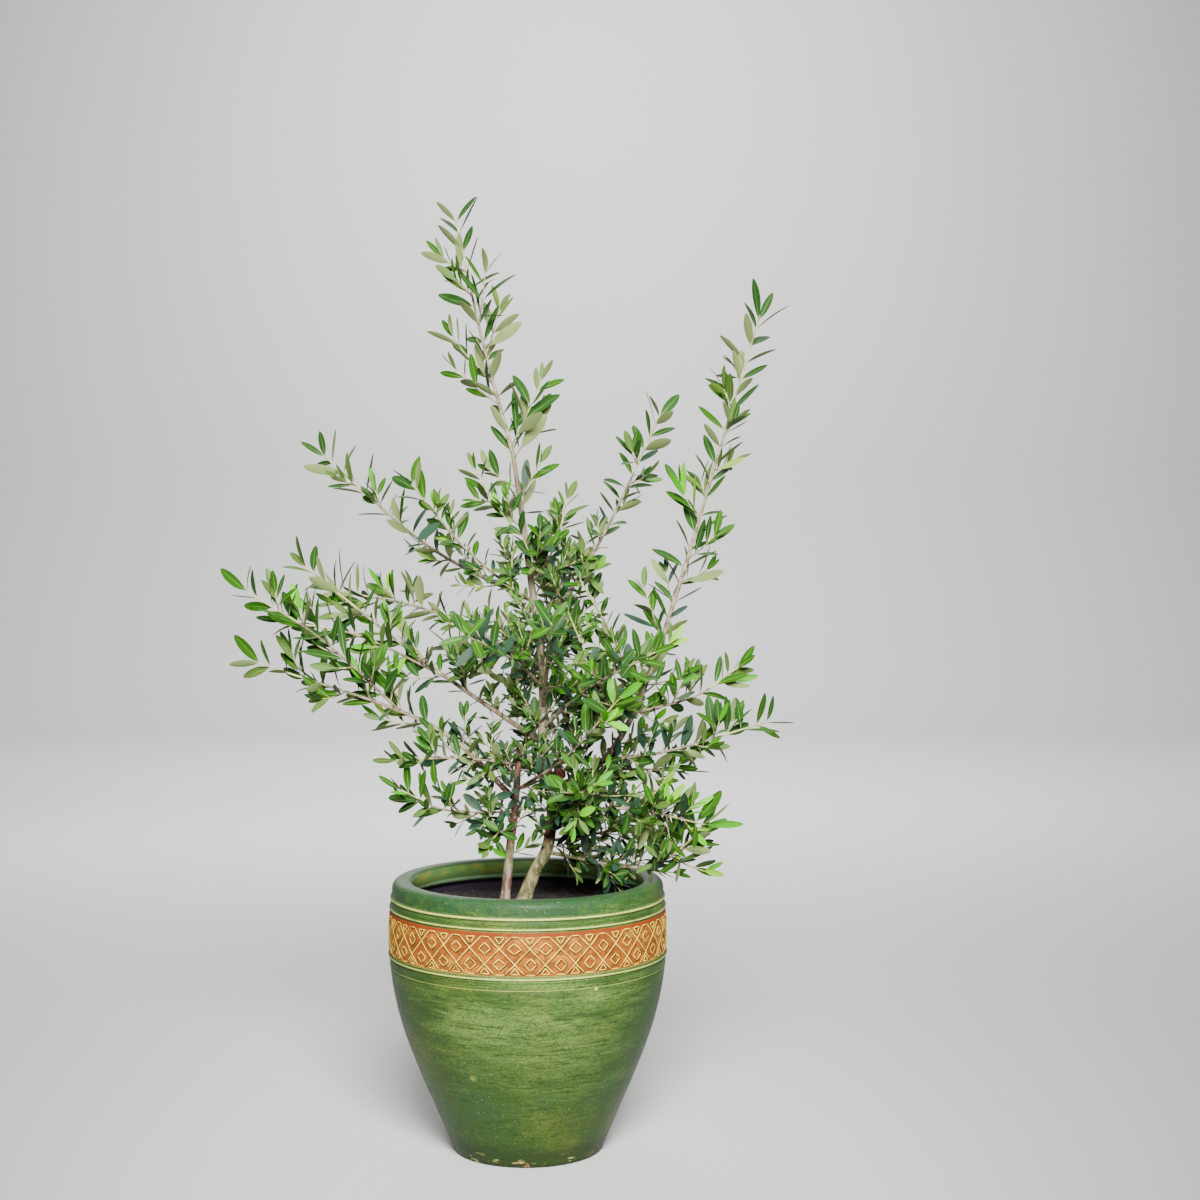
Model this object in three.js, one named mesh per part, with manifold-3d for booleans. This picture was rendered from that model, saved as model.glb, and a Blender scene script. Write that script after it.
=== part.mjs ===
// A young olive tree in a glazed terracotta pot, as an assembly of separate solids.
// Sizes are millimetres, +Z is up, and the origin is the centre of the pot's flat underside.
import * as THREE from "three";
import { mergeVertices } from "three/addons/utils/BufferGeometryUtils.js";
import Module from "manifold-3d";

const wasm = await Module();
wasm.setup();

// Driving dimensions of the pot.
const POT_HEIGHT = 394;
const POT_RADIUS = 202; // at the carved band, its widest place
const FOOT_RADIUS = 108; // of the flat underside
const MOUTH_RADIUS = 168; // inside the rolled lip
const WALL = 16; // thickness of the thrown wall
const FLOOR = 18; // thickness of the pot's bottom
const LIP_ROUND = 9; // radius of the lip's outer edge
const RIDGE_PROUD = 1.6; // how far a painted ridge stands out of the wall
const POT_SEGMENTS = 32;
const SOIL_LEVEL = 350;
const CLEAR = 0.3; // the gap between pieces that touch

// Driving dimensions of the tree.
const TRUNK_FOOT = 9.5; // radius of the trunk above its root flare
const TRUNK_TOP = 3.4; // radius where the trunk becomes the leading shoot
const STEM_FOOT = 7; // radius of the second stem at the soil
const STEM_TOP = 4.6; // radius at its pruned end
const FLARE = 5.5; // how far the root flare widens each foot
const FLARE_HEIGHT = 14;
const SHOOT_TIP = 1.7; // radius of a shoot at its tip
const LEAF_LENGTH = 60; // of a full grown leaf
const END_LEAF = 40; // length of the leaf that a shoot ends in
const LEAF_SHAPE = 0.3; // width of a leaf for its length
const LEAF_THICK = 0.8; // from a leaf's top face to its keel is one and a half times this
const LEAF_NECK = 1; // height of a leaf's root edge
const LEAF_SUNK = 0.4; // how far the root goes past the twig's middle
const NODE_GAP = 55; // between one pair of leaves and the next
const SIDE_GAP = 92; // between one side twig and the next
const SIDE_LENGTH = 95; // of a long side twig
const SPARE = 0.8; // how much larger a leaf or twig is when it is tested for room

// ---------------------------------------------------------------- solids from geometries

// A closed geometry as a solid that can be joined and cut.
function solidFrom(geometry) {
  const bare = new THREE.BufferGeometry();
  bare.setAttribute("position", geometry.getAttribute("position"));
  bare.setIndex(geometry.index);
  const merged = mergeVertices(bare, 1e-4);
  const vertProperties = new Float32Array(merged.attributes.position.array);
  const triVerts = new Uint32Array(merged.index.array);
  return new wasm.Manifold(new wasm.Mesh({ numProp: 3, vertProperties, triVerts }));
}

function geometryFrom(solid) {
  const mesh = solid.getMesh();
  const geometry = new THREE.BufferGeometry();
  geometry.setAttribute("position", new THREE.BufferAttribute(mesh.vertProperties, 3));
  geometry.setIndex(new THREE.BufferAttribute(mesh.triVerts, 1));
  geometry.computeVertexNormals();
  return geometry;
}

// The largest single body of a solid, without the scraps that a cut leaves.
function mainBody(solid) {
  return solid.decompose().reduce((best, body) => (body.volume() > best.volume() ? body : best));
}

const joined = (solids) => solids.reduce((all, solid) => all.add(solid));

// ---------------------------------------------------------------- pot and soil

// The outer wall from the foot to the top ridge, as [radius, height]: a wide shoulder drawn in to a
// narrow foot.
const wall = new THREE.SplineCurve([
  new THREE.Vector2(FOOT_RADIUS + 1, 3),
  new THREE.Vector2(0.661 * POT_RADIUS, 60),
  new THREE.Vector2(0.777 * POT_RADIUS, 115),
  new THREE.Vector2(0.905 * POT_RADIUS, 185),
  new THREE.Vector2(0.98 * POT_RADIUS, 254),
  new THREE.Vector2(POT_RADIUS, 324),
  new THREE.Vector2(0.976 * POT_RADIUS, 378),
]);

function wallRadius(height) {
  let low = 0;
  let high = 1;
  for (let i = 0; i < 24; i++) {
    const middle = (low + high) / 2;
    if (wall.getPoint(middle).y < height) low = middle;
    else high = middle;
  }
  return wall.getPoint(low).x;
}

// A raised ridge runs round the wall: its middle height and its width.
const ridges = [
  { height: 288, width: 5 },
  { height: 356, width: 4.5 },
  { height: 370, width: 6 },
];

function potProfile() {
  const points = [[0, 0], [FOOT_RADIUS - 3, 0], [FOOT_RADIUS, 1]];
  for (const height of [20, 60, 100, 140, 185, 225, 258]) points.push([wallRadius(height), height]);
  for (const { height, width } of ridges) {
    points.push([wallRadius(height - width / 2) - 0.2, height - width / 2]);
    points.push([wallRadius(height) + RIDGE_PROUD, height]);
    points.push([wallRadius(height + width / 2) - 0.2, height + width / 2]);
    if (height === 288) points.push([wallRadius(324), 324]);
  }
  const shoulder = wallRadius(378);
  for (let i = 0; i <= 3; i++) {
    const turn = (i * Math.PI) / 6;
    const reach = shoulder - LIP_ROUND * (1 - Math.cos(turn));
    points.push([reach, POT_HEIGHT - LIP_ROUND * (1 - Math.sin(turn))]);
  }
  points.push([MOUTH_RADIUS + 4, POT_HEIGHT], [MOUTH_RADIUS, POT_HEIGHT - 5]);
  points.push([MOUTH_RADIUS + 3, POT_HEIGHT - 28]);
  for (const height of [352, 285, 205, 125, 36]) points.push([wallRadius(height) - WALL, height]);
  points.push([FOOT_RADIUS - WALL + 6, FLOOR], [0, FLOOR]);
  return points;
}

function turned(points) {
  const profile = points.map(([radius, height]) => new THREE.Vector2(radius, height));
  return new THREE.LatheGeometry(profile, POT_SEGMENTS).rotateX(Math.PI / 2);
}

function soilProfile() {
  const points = [[0, FLOOR + CLEAR], [FOOT_RADIUS - WALL + 4, FLOOR + CLEAR]];
  for (const height of [36, 125, 205, 285]) points.push([wallRadius(height) - WALL - 2 * CLEAR, height]);
  points.push([wallRadius(352) - WALL - 2 * CLEAR, SOIL_LEVEL - 2]);
  points.push([wallRadius(352) - WALL - 4, SOIL_LEVEL], [0, SOIL_LEVEL]);
  return points;
}

// ---------------------------------------------------------------- limbs

const vector = ([x, y, z]) => new THREE.Vector3(x, y, z);
const curveThrough = (points) => new THREE.CatmullRomCurve3(points.map(vector), false, "catmullrom", 0.5);

// The trunk leans out of the soil, stands up and sways to the left as it climbs.
const trunkCurve = curveThrough([
  [-16, 8, 332],
  [8, 4, 398],
  [29, 0, 440],
  [36, 0, 515],
  [22, 0, 580],
  [22, 0, 690],
  [1, 0, 856],
  [-20, 0, 1005],
]);

// A second, thinner stem from the same root, cut off above its last fork.
const stemCurve = curveThrough([
  [-37, -14, 332],
  [-30, -12, 390],
  [-25, -10, 444],
  [-18, -8, 500],
  [-12, -4, 590],
]);

function flared(foot, top, curve) {
  const rise = curve.points.at(-1).z - SOIL_LEVEL;
  return (point) => {
    const above = Math.max(0, point.z - SOIL_LEVEL);
    return foot + ((top - foot) * above) / rise + FLARE * Math.exp(-above / FLARE_HEIGHT);
  };
}

const uprights = {
  trunk: { curve: trunkCurve, radius: flared(TRUNK_FOOT, TRUNK_TOP, trunkCurve), steps: 20 },
  second_stem: { curve: stemCurve, radius: flared(STEM_FOOT, STEM_TOP, stemCurve), steps: 10 },
};

// The limbs. Each row holds the limb's name, what it grows on, the height where it leaves that (or, below 1,
// the share of the shoot where it forks off), its tip, its bend, the share of it that is bare of leaves, its
// radius at the foot, and the scale of its side twigs. A bend is a share of the length and the move there.
const limbs = [
  ["leader", "trunk", 1005, [-103, 10, 1346], [0.5, -4, 0, 0], 0, 3.3, 1.3],
  ["left_reach", "second_stem", 509, [-381, -60, 711], [0.34, 0, 0, 42], 0.2, 4.4, 0.8],
  ["left_far", "left_reach", 0.5, [-385, -130, 815], [0.5, -2, -10, 18], 0.1, 2.2, 0.5],
  ["left_rise", "trunk", 590, [-320, -20, 848], [0.5, -4, 0, -6], 0.24, 4.2, 0.8],
  ["left_fork", "left_rise", 0.4, [-341, -70, 770], [0.55, 0, 0, 16], 0.1, 2.2, 0.5],
  ["left_mid", "trunk", 700, [-294, 120, 809], [0.5, 0, 0, 22], 0.2, 3.4, 0.6],
  ["left_high", "trunk", 795, [-308, 105, 1010], [0.5, 0, 0, -26], 0.22, 3.4, 0.6],
  ["left_inner", "bough_left_high", 808, [-160, -85, 964], [0.5, -4, 0, -8], 0, 2, 0.5],
  ["left_droop", "second_stem", 490, [-177, -80, 532], [0.6, 0, 0, -16], 0, 1.8, 0.4],
  ["left_low", "second_stem", 560, [-183, -90, 575], [0.5, 0, 0, 6], 0, 2, 0.5],
  ["left_twig", "second_stem", 468, [-50, -118, 452], [0.5, -6, 0, 6], 0, 1.6, 0],
  ["right_main", "trunk", 500, [342, 88, 1215], [0.25, 50, -10, -26], 0.3, 5.2, 0.85],
  ["right_rise", "trunk", 740, [188, -118, 1058], [0.5, 8, 0, -6], 0.2, 3.4, 0.6],
  ["right_lean", "bough_right_main", 652, [77, -60, 829], [0.5, 6, 0, 0], 0, 2.6, 0.7],
  ["right_front", "bough_right_main", 598, [60, -95, 785], [0.5, 0, -8, 0], 0, 2.6, 0.7],
  ["right_side", "bough_right_main", 632, [303, -30, 702], [0.6, 0, 0, -14], 0, 2.4, 0.6],
  ["right_low", "trunk", 560, [344, -50, 626], [0.5, 0, 0, -16], 0.3, 3.4, 0.7],
  ["right_short", "trunk", 528, [231, 60, 542], [0.5, 0, 0, 12], 0.25, 3, 0.6],
  ["right_arch", "trunk", 484, [253, -80, 483], [0.5, 0, 0, 16], 0.25, 3, 0.6],
  ["right_rim", "trunk", 430, [247, -50, 465], [0.62, 6, 0, -38], 0.3, 3, 0.5],
  ["back_low", "trunk", 446, [180, 112, 470], [0.5, 0, 0, -8], 0, 2.6, 0.8],
  ["front_centre", "second_stem", 522, [130, -165, 667], [0.5, 0, -6, -14], 0.25, 2.6, 0.6],
  ["front_low", "trunk", 462, [98, -158, 550], [0.5, 0, 0, 8], 0, 2.2, 0.6],
  ["front_high", "trunk", 640, [40, -235, 775], [0.4, 0, 0, 12], 0.22, 3, 0.9],
  ["front_right", "trunk", 612, [178, -220, 735], [0.4, 0, 0, 12], 0.22, 3, 0.9],
  ["front_left", "trunk", 668, [-78, -225, 760], [0.4, 0, 0, 12], 0.22, 3, 0.9],
  ["back_high", "trunk", 655, [50, 205, 850], [0.4, 0, 0, 10], 0.22, 3, 0.9],
  ["back_right", "trunk", 575, [172, 205, 668], [0.4, 0, 0, 14], 0.22, 3, 0.9],
  ["back_left", "trunk", 620, [-125, 205, 716], [0.4, 0, 0, 14], 0.22, 3, 0.9],
  ["top_right", "trunk", 820, [58, -45, 943], [0.5, 8, 0, -6], 0, 2.2, 0.7],
  ["top_back", "trunk", 770, [93, 85, 900], [0.5, 8, 0, -6], 0, 2.2, 0.7],
  ["top_left", "trunk", 900, [-72, -40, 985], [0.5, -8, 0, -6], 0, 2, 0.6],
].map(([name, on, at, tip, bend, bare, radius, side]) => ({
  name, on, at, tip, bend, bare, radius, side, fork: at < 1,
}));

// The same fraction from 0 to 1 for the same three whole numbers, so that twigs don't depend on each other.
function chance(limb, part, use) {
  const wave = Math.sin(limb * 12.9898 + part * 78.233 + use * 37.719) * 43758.5453;
  return wave - Math.floor(wave);
}

function atHeight(curve, height) {
  const steps = curve.getSpacedPoints(400);
  return Math.min(steps.length - 1, steps.filter((point) => point.z < height).length) / 400;
}

// Two directions square to the course, which turn with it.
function frameAt(curve, share) {
  const along = curve.getTangentAt(share);
  const chord = curve.getPoint(1).sub(curve.getPoint(0)).normalize();
  const pole = Math.abs(chord.y) > 0.7 ? new THREE.Vector3(1, 0, 0) : new THREE.Vector3(0, -1, 0);
  const across = new THREE.Vector3().crossVectors(along, pole).normalize();
  return { along, across, other: new THREE.Vector3().crossVectors(across, along) };
}

// A tapering limb: a cylinder whose rings are set square to the curve, and all of it larger by "spare".
function limbSolid(curve, from, to, radiusAt, sides, steps, spare = 0) {
  const geometry = new THREE.CylinderGeometry(1, 1, 1, sides, steps);
  const position = geometry.getAttribute("position");
  for (let i = 0; i < position.count; i++) {
    const share = Math.min(1, from + (position.getY(i) + 0.5) * (to - from));
    const centre = curve.getPointAt(share);
    const { along, across, other } = frameAt(curve, share);
    const radius = radiusAt(share, centre) + spare;
    centre.addScaledVector(along, 2 * spare * position.getY(i));
    centre.addScaledVector(across, radius * position.getX(i));
    centre.addScaledVector(other, radius * position.getZ(i));
    position.setXYZ(i, centre.x, centre.y, centre.z);
  }
  return solidFrom(geometry);
}

// A shoot: a limb whose last two rings widen into the leaf that it ends in.
function shootSolid(curve, from, radiusAt, sides, steps, spare = 0) {
  const rings = steps + 2;
  const geometry = new THREE.CylinderGeometry(0, 1, 1, sides, rings);
  const position = geometry.getAttribute("position");
  const blade = END_LEAF * LEAF_SHAPE * 0.5 + spare;
  for (let i = 0; i < position.count; i++) {
    const ring = Math.round((position.getY(i) + 0.5) * rings);
    const share = from + (1 - from) * Math.min(1, ring / steps);
    const centre = curve.getPointAt(share);
    const { along, across, other } = frameAt(curve, share);
    const turn = Math.atan2(position.getX(i), position.getZ(i));
    const inBlade = ring === steps + 1;
    const inTip = ring === rings || Math.hypot(position.getX(i), position.getZ(i)) < 1e-6;
    const radius = inTip ? 0 : radiusAt(share) + spare;
    centre.addScaledVector(across, (inBlade ? blade : radius) * Math.sin(turn));
    centre.addScaledVector(other, (inBlade ? LEAF_THICK + spare : radius) * Math.cos(turn));
    centre.addScaledVector(along, END_LEAF * (inBlade ? 0.46 : ring === rings ? 1 : 0));
    position.setXYZ(i, centre.x, centre.y, centre.z);
  }
  return solidFrom(geometry);
}

// ---------------------------------------------------------------- leaves

// A leaf of eight faces, flat above and keeled below, widest a little short of its middle. Its root is an
// upright edge, sunk in the twig past the twig's middle.
const LEAF_FACES = [
  [0, 2, 3], [0, 1, 2], [1, 4, 2], [0, 3, 1], [1, 3, 4],
  [5, 3, 2], [5, 4, 3], [5, 2, 4],
];

function leafSolid(root, along, face, length, spare = 0) {
  const across = new THREE.Vector3().crossVectors(face, along).normalize();
  const up = new THREE.Vector3().crossVectors(along, across);
  const corner = (reach, sideways, height) =>
    root.clone().addScaledVector(along, reach).addScaledVector(across, sideways).addScaledVector(up, height);
  const half = (length * LEAF_SHAPE) / 2 + spare;
  const corners = [
    corner(-LEAF_SUNK, 0, LEAF_NECK / 2),
    corner(-LEAF_SUNK, 0, -LEAF_NECK / 2),
    corner(0.46 * length, -half, LEAF_THICK / 2 + spare),
    corner(0.46 * length, half, LEAF_THICK / 2 + spare),
    corner(0.46 * length, 0, -LEAF_THICK - spare),
    corner(length + spare, 0, 0),
  ];
  const geometry = new THREE.BufferGeometry().setFromPoints(corners);
  geometry.setIndex(LEAF_FACES.flat());
  return solidFrom(geometry);
}

// ---------------------------------------------------------------- room for each mass

const placed = []; // every limb, twig and leaf set so far, with its owner and the twig that it grows on

const boxesMeet = (a, b) => [0, 1, 2].every((i) => a.min[i] <= b.max[i] && b.min[i] <= a.max[i]);

function hasRoom(solid, owner, grownOn, node) {
  const box = solid.boundingBox();
  return placed.every((other) => {
    if (!boxesMeet(box, other.box)) return true;
    const sameNode = other.grownOn === grownOn && other.node === node;
    if (other.owner === owner && (other.id === grownOn || sameNode)) return true;
    return solid.intersect(other.solid).isEmpty();
  });
}

function place(solid, owner, id, grownOn = "", node = -1) {
  placed.push({ solid, owner, id, grownOn, node, box: solid.boundingBox() });
}

// ---------------------------------------------------------------- the tree

const root = new THREE.Group();

const bark = new THREE.MeshStandardMaterial({ color: 0x6b6350, roughness: 0.85, metalness: 0 });
const foliage = new THREE.MeshStandardMaterial({ color: 0x4f6b35, roughness: 0.55, metalness: 0 });
const glaze = new THREE.MeshStandardMaterial({ color: 0x4a6b35, roughness: 0.45, metalness: 0 });
const compost = new THREE.MeshStandardMaterial({ color: 0x2a211b, roughness: 0.95, metalness: 0 });

function addPiece(name, geometry, material) {
  const mesh = new THREE.Mesh(geometry, material);
  mesh.name = name;
  root.add(mesh);
}

addPiece("pot", turned(potProfile()), glaze);
addPiece("soil", turned(soilProfile()), compost);
place(solidFrom(turned(potProfile())), "pot", "pot");

// The uprights are cut flat where they stand on the soil.
const underSoil = solidFrom(new THREE.BoxGeometry(300, 300, 100).translate(0, 0, SOIL_LEVEL + CLEAR - 50));
const grown = {}; // each woody piece a little larger, to cut what meets it clear
for (const [name, { curve, radius, steps }] of Object.entries(uprights)) {
  const solid = limbSolid(curve, 0, 1, (share, point) => radius(point), 8, steps).subtract(underSoil);
  grown[name] = limbSolid(curve, 0, 1, (share, point) => radius(point), 8, steps, CLEAR);
  addPiece(name, geometryFrom(solid), bark);
  place(solid, name, name);
}

// Each limb's course, from the middle of what it grows on to its tip.
const courses = { trunk: trunkCurve, second_stem: stemCurve };
for (const limb of limbs) {
  const parent = courses[limb.on];
  const start = parent.getPointAt(limb.fork ? limb.at : atHeight(parent, limb.at));
  const tip = vector(limb.tip);
  const [share, x, y, z] = limb.bend;
  const middle = start.clone().lerp(tip, share).add(new THREE.Vector3(x, y, z));
  limb.curve = new THREE.CatmullRomCurve3([start, middle, tip], false, "catmullrom", 0.5);
  limb.length = limb.curve.getLength();
  limb.radiusAt = (at) => limb.radius + (SHOOT_TIP - limb.radius) * at;
  courses[limb.name] = limb.curve;
  courses["bough_" + limb.name] = limb.curve;
}

// Bare boughs and the leafy shoots that go on from them.
const masses = {};
limbs.forEach((limb) => {
  const { name, fork, bare, curve, radiusAt, length } = limb;
  limb.owner = "foliage_" + (fork ? limb.on : name);
  let from = 0;
  if (!fork && bare > 0) {
    const bough = "bough_" + name;
    const steps = Math.max(3, Math.round((bare * length) / 25));
    const solid = mainBody(limbSolid(curve, 0, bare, radiusAt, 5, steps).subtract(grown[limb.on]));
    grown[bough] = limbSolid(curve, 0, bare, radiusAt, 5, steps, CLEAR);
    addPiece(bough, geometryFrom(solid), bark);
    place(solid, bough, bough);
    from = bare;
  }
  const stem = shootSolid(curve, from, radiusAt, 4, Math.max(4, Math.round(((1 - from) * length) / 45)));
  const parent = grown[bare > 0 ? "bough_" + name : limb.on];
  limb.stem = fork ? stem : mainBody(stem.subtract(parent));
  place(limb.stem, limb.owner, name);
  (masses[limb.owner] ??= []).push(limb.stem);
});

// A direction out of the shoot, turned round it by an angle and leaning towards its tip.
function outOf(curve, share, turn, lean) {
  const { along, across, other } = frameAt(curve, share);
  const out = across.clone().multiplyScalar(Math.cos(turn)).addScaledVector(other, Math.sin(turn));
  const direction = along.clone().multiplyScalar(Math.cos(lean)).addScaledVector(out, Math.sin(lean));
  direction.z += 0.1;
  return { direction: direction.normalize(), along };
}

// Side twigs leave the shoot in turn round it, long near its foot and short near its tip.
const shoots = limbs.map((limb, index) => ({
  id: limb.name,
  owner: limb.owner,
  seed: index * 50,
  curve: limb.curve,
  length: limb.length,
  from: limb.fork || limb.bare > 0 || limb.name === "leader" ? limb.bare + 0.02 : 26 / limb.length,
}));

limbs.forEach((limb, index) => {
  const leafy = limb.length * (1 - limb.bare);
  const count = limb.side > 0 ? Math.round(leafy / SIDE_GAP) : 0;
  for (let i = 0; i < count; i++) {
    const share = limb.bare + (1 - limb.bare) * ((i + 0.45 + 0.3 * chance(index, i, 1)) / (count + 0.4));
    const turn = Math.PI / 4 + i * (Math.PI / 2) + 0.5 * (chance(index, i, 2) - 0.5);
    const { direction } = outOf(limb.curve, share, turn, 0.75 + 0.25 * chance(index, i, 3));
    const length = SIDE_LENGTH * limb.side * (1 - 0.55 * share) * (0.65 + 0.6 * chance(index, i, 4));
    const start = limb.curve.getPointAt(share);
    const curve = new THREE.LineCurve3(start, start.clone().addScaledVector(direction, length));
    const foot = Math.min(2, 0.9 * limb.radiusAt(share));
    const twig = (spare) => shootSolid(curve, 0, (at) => foot + (SHOOT_TIP - foot) * at, 3, 1, spare);
    const id = limb.name + "_" + i;
    if (!hasRoom(twig(SPARE), limb.owner, limb.name, 1000 + i)) continue;
    place(twig(0), limb.owner, id, limb.name, 1000 + i);
    masses[limb.owner].push(twig(0));
    shoots.push({ id, owner: limb.owner, seed: index * 50 + i + 1, curve, length, from: 16 / length });
  }
});

// Leaves stand in pairs, each pair a quarter turn from the last, and are smaller towards the shoot's tip.
for (const shoot of shoots) {
  const { id, owner, seed, curve, length, from } = shoot;
  const pairs = Math.max(1, Math.round(((1 - from) * length) / NODE_GAP));
  for (let node = 0; node < pairs; node++) {
    const share = from + ((1 - from) * (node + 0.45)) / pairs;
    const left = (1 - share) * length;
    const size = LEAF_LENGTH * (0.62 + 0.38 * Math.min(1, left / 90));
    for (const half of [0, 1]) {
      const key = node * 2 + half;
      const turn = (node + 0.5) * (Math.PI / 2) + half * Math.PI + 0.3 * (chance(seed, key, 5) - 0.5);
      const lean = 0.78 + 0.35 * (chance(seed, key, 6) - 0.5);
      const { direction, along } = outOf(curve, share, turn, lean);
      const face = along.clone().addScaledVector(direction, -along.dot(direction));
      face.z += 0.2;
      const leafLength = size * (0.85 + 0.3 * chance(seed, key, 7));
      const at = curve.getPointAt(share);
      if (!hasRoom(leafSolid(at, direction, face, leafLength, SPARE), owner, id, node)) continue;
      const leaf = leafSolid(at, direction, face, leafLength);
      place(leaf, owner, id + "_leaf", id, node);
      masses[owner].push(leaf);
    }
  }
}

for (const [name, solids] of Object.entries(masses)) {
  addPiece(name, geometryFrom(mainBody(joined(solids))), foliage);
}

export default root;
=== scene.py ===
import math
from bisect import bisect_right

import bpy
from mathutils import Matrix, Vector, kdtree, noise


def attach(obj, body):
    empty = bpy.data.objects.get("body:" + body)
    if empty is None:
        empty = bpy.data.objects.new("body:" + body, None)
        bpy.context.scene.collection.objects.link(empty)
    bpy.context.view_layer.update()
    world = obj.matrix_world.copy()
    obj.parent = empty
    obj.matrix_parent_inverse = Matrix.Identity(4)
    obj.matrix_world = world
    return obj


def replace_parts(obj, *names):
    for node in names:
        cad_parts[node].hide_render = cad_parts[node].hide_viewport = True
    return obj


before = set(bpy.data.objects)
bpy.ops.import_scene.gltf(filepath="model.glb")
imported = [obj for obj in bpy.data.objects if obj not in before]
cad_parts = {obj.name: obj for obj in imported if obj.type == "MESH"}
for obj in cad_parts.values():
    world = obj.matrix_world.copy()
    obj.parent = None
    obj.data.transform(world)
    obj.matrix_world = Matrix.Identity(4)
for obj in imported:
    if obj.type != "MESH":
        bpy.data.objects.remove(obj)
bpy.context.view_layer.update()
MM = 0.001

# ---- The pot's body
# A wheel-thrown terracotta pot: a wide shoulder drawn in to a narrow foot, a thick rolled lip and a
# hollow inside. Thin ridges are turned round it above and below the carved band.

POT_HEIGHT = 394
POT_FOOT = 108
POT_MOUTH = 168
POT_WALL = 16
POT_FLOOR = 18
POT_TURNS = 224  # faces round the pot
WALL_POINTS = [(109, 3), (133.5, 60), (157, 115), (182.8, 185), (198, 254), (202, 324), (197.2, 378)]
# A ridge's middle height, its width and how proud it stands.
RIDGES = [(272, 2.4, 0.5), (288, 5, 1.6), (356, 4.5, 1.5), (370, 6, 1.7)]
GROOVE_REACH = 0.6  # of half its ridge's width
GROOVE_DEPTH = 0.55
LIP_OUTSIDE = (11, 12)  # how far the lip's rounding goes in and down
LIP_INSIDE = (9, 7)
LIP_STEPS = 8
SHOULDER_HEIGHT = 378


def between(a, b, c, d, t):
    """A value between b and c on a smooth curve through all four."""
    leave, arrive = (c - a) / 2, (d - b) / 2
    cubic = (2 * b - 2 * c + leave + arrive) * t**3 + (3 * c - 3 * b - 2 * leave - arrive) * t**2
    return cubic + leave * t + b


def smooth_point(points, share):
    """The point at a share of a smooth curve through flat points, whose ends count twice."""
    place = (len(points) - 1) * share
    first = min(int(place), len(points) - 2)
    four = [points[0], *points, points[-1]][first : first + 4]
    return [between(*values, place - first) for values in zip(*four)]


def wall_radius(height):
    low, high = 0.0, 1.0
    for _ in range(24):
        middle = (low + high) / 2
        if smooth_point(WALL_POINTS, middle)[1] < height:
            low = middle
        else:
            high = middle
    return smooth_point(WALL_POINTS, low)[0]


def ridge_at(height):
    """How far the wall stands out at a height: round ridges, each with a fine groove on both sides."""
    proud = 0.0
    for middle, width, rise in RIDGES:
        away = abs(height - middle) / (width / 2)
        if away < 1:
            proud += rise * math.sqrt(1 - away * away)
        elif away < 1 + GROOVE_REACH:
            proud -= GROOVE_DEPTH * math.sin(math.pi * (away - 1) / GROOVE_REACH)
    return proud


def stepped(start, end, step):
    count = round((end - start) / step)
    return [start + (end - start) * i / count for i in range(count)]


# The wall's heights lie close together where there are ridges.
heights = stepped(2, 262, 5) + stepped(262, 296, 0.6) + stepped(296, 348, 4)
heights += stepped(348, SHOULDER_HEIGHT, 0.6)
pot_outline = [(0, 0), (POT_FOOT - 6, 0), (POT_FOOT - 1.5, 0.4)]
pot_outline += [(wall_radius(height) + ridge_at(height), height) for height in heights]
SHOULDER = wall_radius(SHOULDER_HEIGHT)
quarter = [step * math.pi / 2 / LIP_STEPS for step in range(LIP_STEPS + 1)]
inward, down = LIP_OUTSIDE
for turn in quarter:
    pot_outline.append((SHOULDER - inward * (1 - math.cos(turn)), POT_HEIGHT - down * (1 - math.sin(turn))))
inward, down = LIP_INSIDE
for turn in quarter:
    radius = POT_MOUTH + inward - inward * math.sin(turn)
    pot_outline.append((radius, POT_HEIGHT - down * (1 - math.cos(turn))))
# Below the lip the inside steps out to the wall's own thickness and follows it down to the floor.
pot_outline += [(POT_MOUTH + 0.6, 380), (POT_MOUTH + 2, 371), (POT_MOUTH + 4.5, 367), (POT_MOUTH + 7, 365)]
pot_outline += [(wall_radius(352) - POT_WALL, height) for height in (358, 352)]
pot_outline += [(wall_radius(height) - POT_WALL, height) for height in (345, 320, 285, 205, 125, 60, 30)]
pot_outline += [(POT_FOOT - 14, POT_FLOOR), (0, POT_FLOOR)]


def start_clean():
    if bpy.context.object and bpy.context.object.mode != "OBJECT":
        bpy.ops.object.mode_set(mode="OBJECT")
    bpy.ops.object.select_all(action="DESELECT")


def pick_edges(piece, wanted):
    """Selects a piece's edges in edit mode, by the places of their two ends."""
    bpy.ops.object.mode_set(mode="EDIT")
    bpy.context.tool_settings.mesh_select_mode = (False, True, False)
    bpy.ops.mesh.select_all(action="DESELECT")
    bpy.ops.object.mode_set(mode="OBJECT")
    for edge in piece.data.edges:
        edge.select = wanted(*[piece.data.vertices[i].co for i in edge.vertices])
    bpy.ops.object.mode_set(mode="EDIT")


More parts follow.
